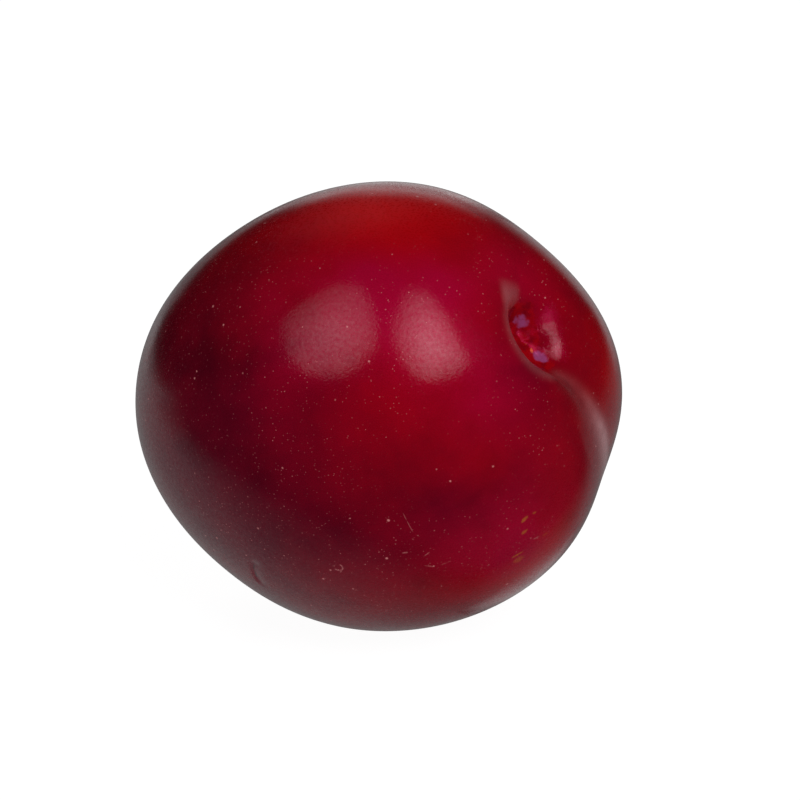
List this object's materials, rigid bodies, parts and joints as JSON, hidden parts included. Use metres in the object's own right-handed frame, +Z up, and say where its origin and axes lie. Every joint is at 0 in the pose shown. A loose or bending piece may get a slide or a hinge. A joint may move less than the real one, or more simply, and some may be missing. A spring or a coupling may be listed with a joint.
{
  "type": "plum",
  "caption": "Whole ripe dark-red plum with an open stem cavity and a suture groove, lying on a small flat spot.",
  "frame": {"origin": "middle of the plum's box, at the bottom, on the surface that it lies on", "axes": "+Z up as the plum lies, +X along its widest side, towards the stem end, and -Y towards the side that shows both cheek and stem cavity"},
  "size_m": [0.0618, 0.0592, 0.0583],
  "materials": {
    "plum_skin": "satin"
  },
  "bodies": {
    "root": {"plum": "plum_skin"}
  },
  "joints": []
}
